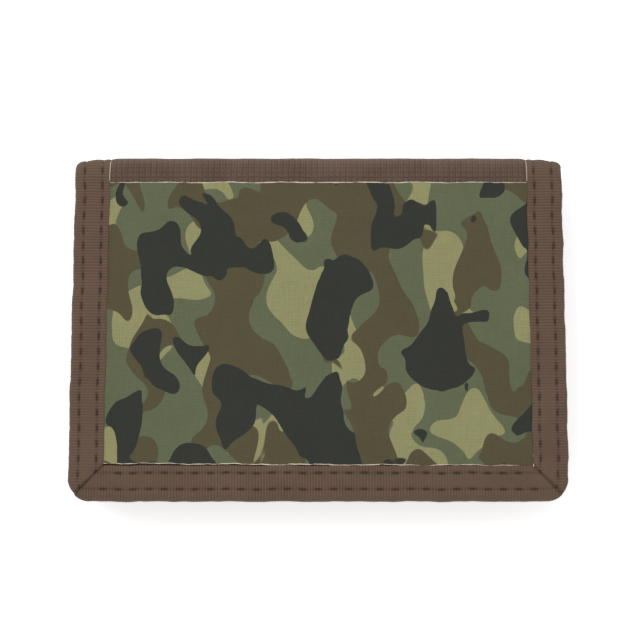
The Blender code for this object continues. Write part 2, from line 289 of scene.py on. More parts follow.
class Nodes:
    """Short calls for a material's node tree, in millimetres of the row frame."""

    def __init__(self, name, roughness=0.8, sheen=0.0, sheen_tint=(1, 1, 1, 1), specular=0.3):
        self.material = bpy.data.materials.new(name)
        self.material.use_nodes = True
        self.tree = self.material.node_tree
        self.shader = self.tree.nodes["Principled BSDF"]
        self.set("Roughness", roughness)
        self.set("Sheen Weight", sheen)
        self.set("Sheen Roughness", 0.4)
        self.set("Sheen Tint", sheen_tint)
        self.set("Specular IOR Level", specular)
        self.place = None

    def set(self, socket, value):
        self.shader.inputs[socket].default_value = value

    def node(self, kind, **values):
        made = self.tree.nodes.new(kind)
        for key, value in values.items():
            setattr(made, key, value)
        return made

    def feed(self, source, target):
        """Set a socket to a constant, or link another node's output to it."""
        if isinstance(source, (int, float, tuple)):
            target.default_value = source
        else:
            self.tree.links.new(source, target)

    def math(self, operation, a, b=0.0, c=0.0):
        made = self.node("ShaderNodeMath", operation=operation)
        for value, target in zip((a, b, c), made.inputs):
            self.feed(value, target)
        return made.outputs[0]

    def vector(self, operation, *values):
        made = self.node("ShaderNodeVectorMath", operation=operation)
        for value, target in zip(values, made.inputs):
            self.feed(value, target)
        return made.outputs[0]

    def millimetres(self):
        if self.place is None:
            coordinates = self.node("ShaderNodeTexCoord")
            scale = self.node("ShaderNodeVectorMath", operation="SCALE")
            self.feed(coordinates.outputs["Object"], scale.inputs[0])
            scale.inputs["Scale"].default_value = 1.0 / MM
            self.place = scale.outputs[0]
        return self.place

    def axes(self):
        split = self.node("ShaderNodeSeparateXYZ")
        self.feed(self.millimetres(), split.inputs[0])
        return split.outputs

    def noise(self, size, detail=3.0, roughness=0.55, stretch=(1.0, 1.0, 1.0)):
        """Noise with features about size millimetres wide."""
        mapping = self.node("ShaderNodeMapping")
        self.feed(self.millimetres(), mapping.inputs["Vector"])
        mapping.inputs["Scale"].default_value = [value / size for value in stretch]
        return self.noise_texture(mapping.outputs[0], 1.0, detail, roughness).outputs["Fac"]

    def noise_texture(self, place, scale, detail, roughness=0.5):
        made = self.node("ShaderNodeTexNoise")
        self.feed(place, made.inputs["Vector"])
        made.inputs["Scale"].default_value = scale
        made.inputs["Detail"].default_value = detail
        made.inputs["Roughness"].default_value = roughness
        return made

    def wave(self, axis, pitch, shift=0.0):
        """A ridge wave from 0 to 1 along one coordinate."""
        turned = self.math("MULTIPLY_ADD", axis, 2 * math.pi / pitch, shift)
        return self.math("MULTIPLY_ADD", self.math("SINE", turned), 0.5, 0.5)

    def mix(self, factor, a, b, mode="MIX"):
        made = self.node("ShaderNodeMix", data_type="RGBA", blend_type=mode)
        self.feed(factor, made.inputs["Factor"])
        self.feed(a, made.inputs["A"])
        self.feed(b, made.inputs["B"])
        return made.outputs["Result"]

    def span(self, value, low, high, to_low=0.0, to_high=1.0):
        made = self.node("ShaderNodeMapRange")
        self.feed(value, made.inputs["Value"])
        made.inputs["From Min"].default_value = low
        made.inputs["From Max"].default_value = high
        made.inputs["To Min"].default_value = to_low
        made.inputs["To Max"].default_value = to_high
        return made.outputs["Result"]

    def attribute(self, name):
        made = self.node("ShaderNodeAttribute", attribute_name=name)
        return made.outputs["Fac"]

    def colour(self, source):
        self.feed(source, self.shader.inputs["Base Color"])

    def rough(self, source):
        self.feed(source, self.shader.inputs["Roughness"])

    def bump(self, height, distance, strength=1.0):
        made = self.node("ShaderNodeBump")
        made.inputs["Distance"].default_value = distance * MM
        made.inputs["Strength"].default_value = strength
        self.feed(height, made.inputs["Height"])
        self.feed(made.outputs[0], self.shader.inputs["Normal"])


SHEEN_TINT = linear(170, 140, 120)


def woven(name, colour_dark, colour_light, pitch, depth, roughness):
    """Plain weave: raised threads over and under, painted lighter on their crests and darker in the hollows
    as painted shade, with a slow change of tone.
    """
    made = Nodes(name, roughness=roughness, sheen=0.25, sheen_tint=SHEEN_TINT)
    u, y, z = made.axes()
    v = made.math("SUBTRACT", y, z)
    warp = made.wave(u, pitch)
    weft = made.wave(v, pitch, 0.6)
    product = made.math("MULTIPLY", made.wave(u, 2 * pitch), made.wave(v, 2 * pitch))
    height = made.math("ADD", made.math("MULTIPLY", warp, weft), made.math("MULTIPLY", product, 0.5))
    fibre = made.noise(0.16, detail=2.0)
    height = made.math("MULTIPLY_ADD", fibre, 0.35, height)
    slow = made.noise(9.0, detail=4.0)
    slow = made.math("MULTIPLY_ADD", slow, 0.7, -0.2)
    # the weave height lightens the raised threads and darkens the hollows: painted highlight and shade; the
    # slow noise is the cloth's own tone
    tone = made.math("ADD", made.math("MULTIPLY", height, 0.55), slow)
    made.colour(made.mix(tone, linear(*colour_dark), linear(*colour_light)))
    made.bump(height, depth)
    return made.material


def tape_material():
    """Brown grosgrain, with a painted highlight on its rib crests and painted shade in the stitch dents and
    where the tape dips at its ends.
    """
    made = Nodes("grosgrain", roughness=0.8, sheen=0.12, sheen_tint=SHEEN_TINT)
    rib = made.attribute("rib")
    fine = made.noise(0.22, detail=2.0)
    slow = made.noise(7.0, detail=4.0)
    # the rib crests are painted lighter than the grooves between them: a painted highlight
    tone = made.math("ADD", made.math("MULTIPLY", rib, 0.45), made.math("MULTIPLY", slow, 0.45))
    tone = made.math("MULTIPLY_ADD", fine, 0.3, tone)
    tone = made.math("SUBTRACT", tone, 0.12)
    colour = made.mix(tone, linear(69, 50, 38), linear(110, 89, 74))
    # the darker colour mixed in here is painted shade in the stitch dents and where the tape dips at its ends
    made.colour(made.mix(made.attribute("dent_shade"), colour, linear(46, 30, 24)))
    made.bump(fine, 0.05)
    return made.material


def plain(name, colour, roughness=0.6, sheen=0.0, metallic=0.0, size=0.5, spread=0.15, bump=0.02):
    """One colour with a small change of tone and grain."""
    made = Nodes(name, roughness=roughness, sheen=sheen)
    made.set("Metallic", metallic)
    grain = made.noise(size)
    low = tuple(value * (1 - spread) for value in colour)
    high = tuple(min(255, value * (1 + spread)) for value in colour)
    made.colour(made.mix(grain, linear(*low), linear(*high)))
    made.rough(made.span(grain, 0.2, 0.8, roughness - 0.08, roughness + 0.08))
    made.bump(grain, bump)
    return made.material


def clear_vinyl():
    """Clear sheet with broad, faint waves."""
    made = Nodes("clear_vinyl", roughness=0.09, specular=0.5)
    made.set("Base Color", linear(248, 248, 244))
    made.set("Transmission Weight", 1.0)
    made.set("IOR", 1.46)
    made.bump(made.noise(11.0, detail=2.0), 0.08)
    return made.material


TAPE = tape_material()
OXFORD = woven("oxford_nylon", (60, 43, 33), (112, 90, 76), 0.7, 0.16, roughness=0.72)
POCKET_CLOTH = woven("pocket_nylon", (66, 52, 42), (112, 94, 80), 0.5, 0.09, roughness=0.75)
LINING_CLOTH = woven("lining_nylon", (56, 44, 36), (92, 76, 64), 0.34, 0.04, roughness=0.6)
THREAD = plain("sewing_thread", (58, 41, 33), roughness=0.6, sheen=0.2, size=0.12)
# pale line along the tape's inner edge on the top band: partly the cut edge's own colour, partly a painted
# highlight
PALE_EDGE_AND_HIGHLIGHT = plain("pale_edge_and_highlight", (186, 172, 150), roughness=0.7, sheen=0.2, size=0.2)
FOAM = plain("foam", (150, 146, 138), roughness=0.9, size=0.8, spread=0.08, bump=0.05)
HOOK_CLOTH = plain("hook_cloth", (62, 49, 41), roughness=0.7, size=0.3, bump=0.05)
HOOK_TIPS = plain("hook_tips", (72, 57, 48), roughness=0.45, size=0.4)
LOOP_CLOTH = plain("loop_cloth", (66, 52, 43), roughness=0.95, sheen=0.4, size=0.35, spread=0.25, bump=0.15)
LOOP_FIBRE = plain("loop_fibre", (82, 66, 56), roughness=0.85, sheen=0.5, size=0.5, spread=0.2)
ZIP_CLOTH = woven("zipper_cloth", (44, 34, 28), (74, 60, 50), 0.3, 0.04, roughness=0.7)
COIL = plain("zipper_coil", (98, 82, 70), roughness=0.35, size=0.6, spread=0.1)
METAL = plain("zipper_metal", (150, 146, 138), roughness=0.32, metallic=1.0, size=1.5, spread=0.06,
              bump=0.006)
VINYL = clear_vinyl()
RAW_EDGE = plain("raw_edge", (205, 196, 176), roughness=0.9, sheen=0.2, size=0.25)


# ---------------------------------------------------------------- binding tape
def corner_inset(distance, radius):
    """How far a rounded corner pulls the edge in, at a distance from the end."""
    inside = np.clip(radius - np.asarray(distance, float), 0.0, radius)
    return radius - np.sqrt(radius ** 2 - inside ** 2)


def mitre_offset(d, radius):
    """Distance from the end at which a column d in from the edge meets the diagonal."""
    low = np.zeros_like(d)
    high = np.full_like(d, 40.0)
    for _ in range(40):
        middle = (low + high) / 2
        over = middle - corner_inset(middle, radius) - d > 0
        high = np.where(over, middle, high)
        low = np.where(over, low, middle)
    return high


def tape_columns():
    """Columns of the tape's section: distance in, face (1 outer, 0 edge, -1 inner), edge angle.

    They lie closer together across each stitch row, where the thread dents the tape.
    """
    near = 0.8
    face = np.concatenate([np.linspace(TAPE_WIDTH, ROWS[1] + near, 5)[:-1],
                           np.linspace(ROWS[1] + near, ROWS[1] - near, 12)[:-1],
                           np.linspace(ROWS[1] - near, ROWS[0] + near, 6)[:-1],
                           np.linspace(ROWS[0] + near, TAPE_ROUND, 11)])
    edge = np.linspace(0, math.pi, 13)[1:-1]
    columns = [(d, 1, 0.0) for d in face]
    columns += [(None, 0, angle) for angle in edge]
    columns += [(d, -1, 0.0) for d in face[::-1]]
    return columns


def stitch_centres(start, stop):
    """Middles of evenly spaced stitches between two lengths."""
    count = int((stop - start) / STITCH_PITCH)
    first = start + (stop - start - (count - 1) * STITCH_PITCH) / 2
    return first + np.arange(count) * STITCH_PITCH


def pinch_at(s, d, stitches):
    """How far the thread pulls the tape in, from 0 to 1."""
    pull = np.zeros(np.broadcast(s, d).shape)
    for row, centres in stitches:
        across = np.exp(-((d - row) / 0.3) ** 2)
        nearest = np.interp(s, centres, np.arange(len(centres)))
        away = np.abs(s - centres[np.clip(np.round(nearest).astype(int), 0, len(centres) - 1)])
        along = np.exp(-(away / 0.9) ** 4)
        pull = np.maximum(pull, across * (0.35 + 0.65 * along))
    return pull


def end_caps(pick, outer_count, base, flip):
    """Faces that close the tape's folded section, one between each pair of inner columns."""
    faces = []
    for k in range(len(pick) - 1):
        face = [base + n for n in range(pick[k + 1], pick[k] + 1)]
        face += [base + outer_count + k, base + outer_count + k + 1]
        faces.append(face[::-1] if flip else face)
    return faces


def tape(name, rail, length, stitches, seed, mitres=(0.0, 0.0), start=0.0):
    """Ribbed tape folded over an edge.  rail(s, d, h) places a point; rail.depth(s) is the stack."""
    stop = start + length
    rows = max(3, int(length / STEP))
    columns = tape_columns()
    t = np.linspace(0, 1, rows)[:, None]
    flat_d = np.array([TAPE_ROUND * (1 - math.sin(c[2])) if c[1] == 0 else c[0] for c in columns])
    begin = start + (mitre_offset(flat_d, mitres[0]) if mitres[0] else np.zeros_like(flat_d))
    finish = stop - (mitre_offset(flat_d, mitres[1]) if mitres[1] else np.zeros_like(flat_d))
    s = begin + (finish - begin) * t
    depth = rail["depth"](s)
    face = np.array([c[1] for c in columns])
    angle = np.array([c[2] for c in columns])
    total = depth + TAPE_LIFT
    mid = TAPE_LIFT - total / 2
    sine = np.sin(angle)
    cosine = np.cos(angle)
    boxy = 0.8               # under 1 the edge is squarer than a half circle
    edge_h = mid + total / 2 * np.sign(cosine) * np.abs(cosine) ** boxy
    h = np.where(face == 1, TAPE_LIFT, np.where(face == -1, -depth, edge_h))
    d = np.broadcast_to(flat_d, s.shape).copy()
    crowned = 0.12 * np.exp(-((d - (ROWS[0] + ROWS[1]) / 2) / 1.3) ** 2)
    warp = 0.12 * smooth_noise(s, seed, 9.0) + 0.05 * smooth_noise(d, seed + 3, 6.0)
    rib = 0.5 + 0.5 * np.cos(2 * np.pi * (s + warp) / RIB)
    rib = rib ** 0.8
    pull = pinch_at(s, d, stitches)
    ends = np.ones_like(s)
    if mitres[0]:
        ends = np.minimum(ends, smoothstep(0.0, 0.9, s - begin))
    if mitres[1]:
        ends = np.minimum(ends, smoothstep(0.0, 0.9, finish - s))
    dip = np.where(face == 0, 0.04, 0.26)
    lift = RIB_HEIGHT * (rib - 0.5) * (1 - 0.6 * pull) + crowned - 0.36 * pull - dip * (1 - ends)
    lift += 0.05 * smooth_noise(s + 2.3 * d, seed + 7, 6.0)
    lift -= 0.16 * smoothstep(TAPE_WIDTH - 0.7, TAPE_WIDTH, d)
    out_d = np.where(face == 0, -sine, 0.0)
    out_h = np.where(face == 1, 1.0, np.where(face == -1, -1.0, cosine))
    outer = rail["at"](s, d + out_d * lift, h + out_h * lift)
    count = len(flat_d)
    # the tape's underside keeps only nine of the columns, in reverse order to close the ring
    pick = np.array([count - 1, count - 10, count - 19, count // 2 + 5, count // 2, count // 2 - 5, 18, 9, 0])
    shrink = TAPE_THICK + 0.05
    inner_d = d[:, pick] + np.where(face[pick] == 0, sine[pick] * shrink, 0.0)
    inner_h = h[:, pick] - out_h[pick] * shrink - 0.3 * pull[:, pick] * out_h[pick]
    inner = rail["at"](s[:, pick], inner_d, inner_h)
    ring = np.concatenate([outer, inner], axis=1)
    rows, cols = ring.shape[:2]
    faces = grid_faces(rows, cols, closed=True, flip=rail["flip"])
    faces += end_caps(pick, count, 0, rail["flip"])
    faces += end_caps(pick, count, (rows - 1) * cols, not rail["flip"])
    made = mesh_object(name, ring.reshape(-1, 3), faces, TAPE)
    # the rib values are painted lighter on the crests as a highlight; the second attribute is painted shade
    # in the stitch dents and at the dipped ends
    for label, values in (("rib", rib), ("dent_shade", np.clip(pull * 0.75 + 0.5 * (1 - ends), 0, 1))):
        spread = np.concatenate([values, values[:, pick]], axis=1).astype(np.float32)
        made.data.attributes.new(label, "FLOAT", "POINT").data.foreach_set("value", spread.ravel())
    return made


def fold_taper(s):
    """The sides draw in a little toward the top fold."""
    return 0.9 * smoothstep(4.0, TURN["top"], s) * (1 - smoothstep(TURN["top"], TURN["back"], s))


def fold_drop(s, d):
    """The tape's outer edge sinks where it goes round the top fold."""
    near = np.exp(-((s - TURN["top"]) / 9.0) ** 4)
    return 0.75 * near * (1 - np.clip(d / 7.5, 0, 1)) ** 1.4


def half_width(s):
    """The inner flap is a little narrower, so the tape steps in round the bottom spine."""
    narrow = smoothstep(TURN["bottom"], TURN["bottom"] + 12, s)
    return INNER_HALF + (HALF_W - INNER_HALF) * (1 - narrow)


def side_rail(side, end_s):
    """Rail for the left or right tape along the skin line, with a rounded corner at end_s."""
    def at(s, d, h):
        y, z, ny, nz = SKIN.frame_at(s)
        edge = half_width(s) - EDGE_IN + 0.16 * smooth_noise(s, 11 + side, 16.0)
        edge = edge - corner_inset(np.abs(s - end_s), CORNER) - fold_taper(s)
        drop = fold_drop(s, d)
        return np.stack([side * (edge - d), y + ny * (h - drop), z + nz * (h - drop)], axis=-1)
    return {"at": at, "depth": stack_right if side > 0 else stack, "flip": side > 0}


def cross_rail(edge_y, way, half_w, depth, line_z, slope, seed):
    """Rail for a tape along X on a free edge; way is the inward direction along Y."""
    def at(s, d, h):
        reach = np.minimum(s, 2 * half_w - s)
        inset = corner_inset(reach, CORNER) - EDGE_IN + 0.14 * smooth_noise(s, seed, 18.0)
        y = edge_y + way * (inset + d)
        return np.stack([-half_w + s, y, line_z + slope * d + h], axis=-1)
    return {"at": at, "depth": lambda s: np.full_like(s, depth), "flip": way > 0}


# ---------------------------------------------------------------- stitches
def capsule(start, stop, radius, sides=6):
    """Points and faces of a short rounded thread between two places."""
    start, stop = np.array(start), np.array(stop)
    axis = stop - start
    axis = axis / np.linalg.norm(axis)
    helper = np.array([0, 0, 1.0]) if abs(axis[2]) < 0.8 else np.array([0, 1.0, 0])
    across = np.cross(axis, helper)
    across /= np.linalg.norm(across)
    other = np.cross(axis, across)
    rings = []
    for place, share in ((start - axis * radius * 0.8, 0.35), (start, 1.0), ((start + stop) / 2, 1.12),
                         (stop, 1.0), (stop + axis * radius * 0.8, 0.35)):
        for k in range(sides):
            turn = 2 * math.pi * k / sides
            rings.append(place + (across * math.cos(turn) + other * math.sin(turn)) * radius * share)
    faces = grid_faces(5, sides, closed=True, flip=True)
    faces.append(list(range(sides)))
    faces.append([4 * sides + k for k in range(sides)][::-1])
    return np.array(rings), faces


def stitch_threads(name, rail, stitches, start, stop, radius=0.14):
    """Threads of the stitch rows on both faces of a folded tape."""
    pieces = []
    for row, centres in stitches:
        for centre in centres:
            if not start + 0.8 < centre < stop - 0.8:
                continue
            ends = np.array([centre - STITCH_LENGTH / 2, centre + STITCH_LENGTH / 2])
            d = np.full(2, row)
            depth = rail["depth"](ends)
            for h in (np.full(2, TAPE_LIFT - 0.3), -depth + 0.3):
                points = rail["at"](ends, d, h)
                pieces.append(capsule(points[0], points[1], radius))
    made = join(name, pieces, THREAD)
    return made


SIDES = (("left", -1), ("right", 1))
BODY_TAPES = {
    "flap": ("front_binding", "top_spine_binding"),
    "top": ("back_binding",),
    "bottom": ("bottom_spine_binding",),
    "inner": ("inner_binding",),
}
ROUNDED_ENDS = {"flap": 0.0, "inner": SKIN.length}
NO_CORNER = 1e6            # a length no strip reaches


def side_bindings():
    """Left and right tape, in one piece for each strip of the skin."""
    for number, strip in enumerate(STRIPS):
        label, start, stop = strip[:3]
        for name, side in SIDES:
            rail = side_rail(side, ROUNDED_ENDS.get(label, NO_CORNER))
            stitches = [(row, stitch_centres(start, stop)) for row in ROWS]
            mitres = (CORNER if label == "flap" else 0.0, CORNER if label == "inner" else 0.0)
            piece = tape(f"{label}_tape_{name}", rail, stop - start, stitches, 31 + number,
                         mitres=mitres, start=start)
            margin = (8.2 if mitres[0] else 0.0, 7.6 if mitres[1] else 0.0)   # clear of the corners
            thread = stitch_threads(f"{label}_stitches_{name}", rail, stitches,
                                    start + margin[0], stop - margin[1])
            nodes = [f"{stem}_{name}" for stem in BODY_TAPES[label]]
            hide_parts(*nodes)
            blend_strip(piece)
            blend_strip(thread)


def cross_bindings():
    """Tape along the front flap's lower edge and along the inner flap's tip."""
    slope = (INNER_Z - TIP_Z) / (TIP_Y - BEND_Y)
    edges = (
        ("flap", "bottom", "front_binding_bottom", "front_flap", HALF_W, (2.9, 6.8), 57,
         cross_rail(EDGE_Y, 1, HALF_W, 3.6, THICK - LINE_IN, 0.0, 5)),
        ("inner", "tip", "inner_binding_tip", "inner_flap", INNER_HALF, (2.6, 6.3), 77,
         cross_rail(TIP_Y, -1, INNER_HALF, 1.5, TIP_Z - LINE_IN, slope, 6)),
    )
    for label, edge, node, body, half_w, (outer_row, inner_row), seed, rail in edges:
        width = 2 * half_w
        rows = [(outer_row, stitch_centres(5.0, width - 5.0)), (inner_row, stitch_centres(9.0, width - 9.0))]
        piece = tape(f"{label}_tape_{edge}", rail, width, rows, seed, mitres=(CORNER, CORNER))
        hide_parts(node)
        thread = stitch_threads(f"{label}_stitches_{edge}", rail, rows, 3.0, width - 3.0)
        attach(piece, body)
        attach(thread, body)


# ---------------------------------------------------------------- shell and lining cloth
def sheet_corner_pull(s, label):
    """Rounded corners of the cloth at the two free ends, inside the tape's own corners."""
    if label == "flap":
        return corner_inset(s - FREE_ENDS["flap"][0], CORNER)
    if label == "inner":
        return corner_inset(SKIN.length - FREE_ENDS["inner"][1] - s, CORNER)
    return np.zeros_like(s)


def strip_sheet(name, strip, x_left, x_right, height, thickness, material, ends):
    """Cloth along the skin line; height(s, x) is its outer face, negative inward."""
    start, stop = strip[1] + ends[0], strip[2] - ends[1]
    row_step = 0.6
    rows = int((stop - start) / row_step) + 2
    cols = 111
    s = np.linspace(start, stop, rows)[:, None] + np.zeros(cols)
    pull = sheet_corner_pull(s[:, :1], strip[0])
    x = x_left + pull + (x_right - x_left - 2 * pull) * np.linspace(0, 1, cols)[None, :]
    y, z, ny, nz = SKIN.frame_at(s)
    ripple = 0.06 * smooth_noise(s + 0.7 * x, len(name), 14.0)
    ripple = ripple + 0.05 * smooth_noise(x - 0.4 * s, 3, 11.0)
    h = height(s, x) + ripple
    outer = np.stack([x, y + ny * h, z + nz * h], axis=-1)
    low = h - thickness
    inner = np.stack([x, y + ny * low, z + nz * low], axis=-1)
    return slab(name, outer, inner, material)


SHELL_NODES = {"flap": ("front_shell", "top_spine_shell"), "top": ("back_shell",),
               "bottom": ("bottom_spine_shell",), "inner": ("inner_shell",)}
LINING_NODES = {"flap": ("front_lining", "top_spine_lining"), "top": ("back_lining",),
                "bottom": ("bottom_spine_lining",), "inner": ("inner_lining",)}
FREE_ENDS = {"flap": (1.0, 0.0), "inner": (0.0, CLOTH_IN)}


def shell_height(s, x):
    """Under the print the shell lies low; between the tapes it bulges over the top fold."""
    print_end = PANEL_TOP - EDGE_Y
    under = 1 - smoothstep(print_end - 0.8, print_end + 0.1, s)
    fold = np.exp(-((s - TURN["top"]) / 12.0) ** 4)
    between = 1 - smoothstep(HALF_W - TAPE_WIDTH - 1.5, HALF_W - TAPE_WIDTH - 0.3, np.abs(x))
    return -0.15 - 0.45 * under + 0.85 * fold * (1 - under) * between - 0.6 * fold * (1 - between)


def cloth_strips():
    """Outer nylon and inner lining of the whole wallet."""
    for strip in STRIPS:
        label = strip[0]
        half_w = (INNER_HALF if label == "inner" else HALF_W) - CLOTH_IN
        ends = FREE_ENDS.get(label, (0.0, 0.0))
        shell = strip_sheet(f"{label}_outer_cloth", strip, -half_w, half_w, shell_height,
                            SHELL_THICK, OXFORD, ends)
        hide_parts(*SHELL_NODES[label])
        lining = strip_sheet(f"{label}_inner_cloth", strip, -half_w, half_w,
                             lambda s, x: -stack(s) + LINING_GAP, LINING_THICK, LINING_CLOTH, ends)
        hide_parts(*LINING_NODES[label])
        for piece in (shell, lining):
            blend_strip(piece)


# ---------------------------------------------------------------- printed panel
# (ink, noise offset, blotch size, threshold), laid over the light ground in this order
PRINT_INKS = (
    ((92, 98, 72), 11.0, 21.0, 0.45),
    ((80, 74, 50), 37.0, 20.0, 0.51),
    ((44, 46, 41), 71.0, 17.0, 0.56),
)
PRINT_GROUND = (138, 137, 95)
# Colours, sizes and thresholds are set to give the photographed cloth's average colours and shares of
# area.  Where the blotches lie comes from the noise alone and follows nothing in the photograph.


def blotches(made, offset, size, threshold):
    """Mask of one ink: broad noise, bent by other noise, cut off at a threshold."""
    shift = made.vector("ADD", made.millimetres(), (offset, offset * 1.7, 0.0))
    flat = made.vector("MULTIPLY", shift, (1.15 / size, 0.85 / size, 0.0))
    bend = made.noise_texture(flat, 1.6, detail=0.0)
    bent = made.vector("MULTIPLY_ADD", bend.outputs["Color"], (1.0, 1.0, 0.0), flat)
    broad = made.noise_texture(bent, 1.0, detail=1.6, roughness=0.38)
    soft_edge = 0.0015
    return made.span(broad.outputs["Fac"], threshold - soft_edge, threshold + soft_edge)


def print_material():
    """Generic four-colour woodland print on a plain weave."""
    made = Nodes("printed_cloth", roughness=0.85, sheen=0.12)
    x, y, _ = made.axes()
    colour = linear(*PRINT_GROUND)
    for ink, offset, size, threshold in PRINT_INKS:
        colour = made.mix(blotches(made, offset, size, threshold), colour, linear(*ink))
    weave = made.math("MULTIPLY", made.wave(x, 0.42), made.wave(y, 0.46, 0.4))
    threads = made.noise(1.0, detail=3.0, stretch=(0.25, 5.0, 1.0))
    threads_up = made.noise(1.0, detail=3.0, stretch=(5.0, 0.25, 1.0))
    slow = made.noise(14.0, detail=3.0)
    # the weave term lightens the raised crossings of the weave and darkens the gaps: painted highlight and
    # shade; the thread streaks and slow noise are the cloth's own tone
    tone = made.math("MULTIPLY_ADD", weave, 0.35, made.math("MULTIPLY", threads, 0.5))
    tone = made.math("MULTIPLY_ADD", threads_up, 0.5, tone)
    tone = made.math("MULTIPLY_ADD", slow, 0.3, tone)
    light = made.span(tone, 0.35, 1.2, 0.7, 1.3)
    gray = made.node("ShaderNodeCombineColor")
    for socket in gray.inputs[:3]:
        made.feed(light, socket)
    made.colour(made.mix(1.0, colour, gray.outputs[0], mode="MULTIPLY"))
    made.bump(made.math("ADD", weave, made.math("MULTIPLY", threads, 0.4)), 0.05)
    return made.material


def printed_panel():
    """The printed cloth, lying in the frame of tape, a little crowned by the padding under it."""
    cols, rows = 262, 178
    u = np.linspace(0, 1, cols)[None, :] + np.zeros((rows, 1))
    v = np.linspace(0, 1, rows)[:, None] + np.zeros((1, cols))
    left = -HALF_W + TAPE_WIDTH - 0.2 - 0.35 * (1 - v)
    right = HALF_W - TAPE_WIDTH - 0.1 + 0.15 * (1 - v)
    x = left + (right - left) * u
    low = PANEL_LOW + 0.22 * smooth_noise(x, 22, 15.0) + 0.5 * (1 - u) ** 2
    low = low - 1.2 * np.exp(-((1 - u) / 0.02) ** 2)
    high = PANEL_TOP + 0.15 * smooth_noise(x, 23, 17.0)
    y = low + (high - low) * v
    reach = np.minimum(np.minimum(x - left, right - x), np.minimum(y - low, high - y))
    crown = 0.4 * smoothstep(0.0, 9.0, reach)
    dents = 0.09 * smooth_noise(x + 0.6 * y, 24, 26.0) + 0.07 * smooth_noise(y - 0.5 * x, 25, 19.0)
    z = THICK - 0.32 + crown + dents * smoothstep(0.0, 4.0, reach)
    outer = np.stack([x, y, z], axis=-1)
    inner = outer - np.array([0, 0, 0.3])
    made = slab("printed_panel_cloth", outer, inner, print_material())
    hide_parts("printed_panel")
    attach(made, "front_flap")
    edge = np.concatenate([outer[0], outer[1:, -1], outer[-1, ::-1][1:], outer[::-1, 0][1:]])
    raw_edge(edge)


def band_edges():
    """Thin pale lines between the side tapes and the band, which sink in at the top fold; the pale colour is
    partly the cloth's cut edge and partly a painted highlight on the tape's inner edge.
    """
    s = np.linspace(PANEL_TOP - EDGE_Y + 0.3, TURN["top"] - 3.5, 14)
    y, z, ny, nz = SKIN.frame_at(s)
    for name, side in SIDES:
        x = side * (HALF_W - TAPE_WIDTH - fold_taper(s) - 0.08)
        h = 0.22 - 0.6 * smoothstep(TURN["top"] - 7.0, TURN["top"] - 3.5, s)
        points = np.column_stack([x, y + ny * h, z + nz * h])
        line = join(f"band_edge_{name}", [bent_thread(points, 0.11, sides=6)], PALE_EDGE_AND_HIGHLIGHT)
        blend_strip(line)


def raw_edge(line):
    """Pale cut edge of the coated cloth, a thin uneven bead round the panel."""
    count = len(line)
    along = np.arange(count) * 0.4
    width = 0.13 + 0.07 * smooth_noise(along, 26, 7.0)
    centre = line.mean(axis=0)
    rings = []
    for turn in np.linspace(0, 2 * math.pi, 6, endpoint=False):
        out = line - centre
        out[:, 2] = 0
        out /= np.linalg.norm(out, axis=1)[:, None]
        offset = out * (np.cos(turn) * width)[:, None]
        offset[:, 2] = np.sin(turn) * width * 0.8
        rings.append(line + offset - np.array([0, 0, 0.06]))
    ring = np.stack(rings, axis=1)
    faces = grid_faces(count, 6, closed=True)
    made = mesh_object("printed_panel_edge", ring.reshape(-1, 3), faces, RAW_EDGE)
    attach(made, "front_flap")


# ---------------------------------------------------------------- flat cloth pieces
def corner_pull(value, low, high, radius):
    """How far rounded corners pull a side in, from the place along the other axis."""
    return corner_inset(np.minimum(value - low, high - value), radius) if radius else 0.0 * value


def flat_cloth(name, material, box, height, thickness, up=1, cell=0.8, corner=0.0, seed=1, wave=0.05):
    """Cloth over box = (x0, x1, y0, y1); height(x, y) is its visible face, up or down by up."""
    x0, x1, y0, y1 = box
    cols = int((x1 - x0) / cell) + 2
    rows = max(6, int((y1 - y0) / cell) + 2)
    u = np.linspace(0, 1, cols)[None, :] + np.zeros((rows, 1))
    y = y0 + (y1 - y0) * (np.linspace(0, 1, rows)[:, None] + np.zeros((1, cols)))
    pull = corner_pull(y, y0, y1, corner) + wave * smooth_noise(y, seed, 13.0)
    x = x0 + pull + (x1 - x0 - 2 * pull) * u
    near_end = smoothstep(0.4, 0.5, np.abs((y - y0) / (y1 - y0) - 0.5))
    y = y + wave * smooth_noise(x, seed + 1, 15.0) * np.sign(y - (y0 + y1) / 2) * near_end
    z = height(x, y) + 0.6 * wave * smooth_noise(x + 0.7 * y, seed + 2, 12.0)
    outer = np.stack([x, y, z], axis=-1)
    inner = outer - np.array([0, 0, up * thickness])
    if up < 0:
        outer, inner = outer[:, ::-1], inner[:, ::-1]
    return slab(name, outer, inner, material)


def level(z):
    """A height function for flat cloth that lies level."""
    return lambda x, y: np.full_like(x, z)


def thread_line(name, points, material, pitch=3.0, length=2.0, radius=0.13):
    """A row of stitches along a polyline."""
    points = np.array(points, float)
    pieces = []
    for start, stop in zip(points[:-1], points[1:]):
        whole = np.linalg.norm(stop - start)
        way = (stop - start) / whole
        count = max(1, int((whole - length) / pitch) + 1)
        first = (whole - (count - 1) * pitch) / 2
        for k in range(count):
            centre = start + way * (first + k * pitch)
            pieces.append(capsule(centre - way * length / 2, centre + way * length / 2, radius))
    return join(name, pieces, material)


def box_line(box, inset, z):
    """Closed rectangle inside a box, for a row of stitches."""
    x0, x1, y0, y1 = box
    x0, x1, y0, y1 = x0 + inset, x1 - inset, y0 + inset, y1 - inset
    return [(x0, y0, z), (x1, y0, z), (x1, y1, z), (x0, y1, z), (x0, y0, z)]


def node_box(node):
    """(x0, x1, y0, y1) and (z0, z1) of a CAD node."""
    low, high = box_mm(node)
    return (low[0], high[0], low[1], high[1]), (low[2], high[2])


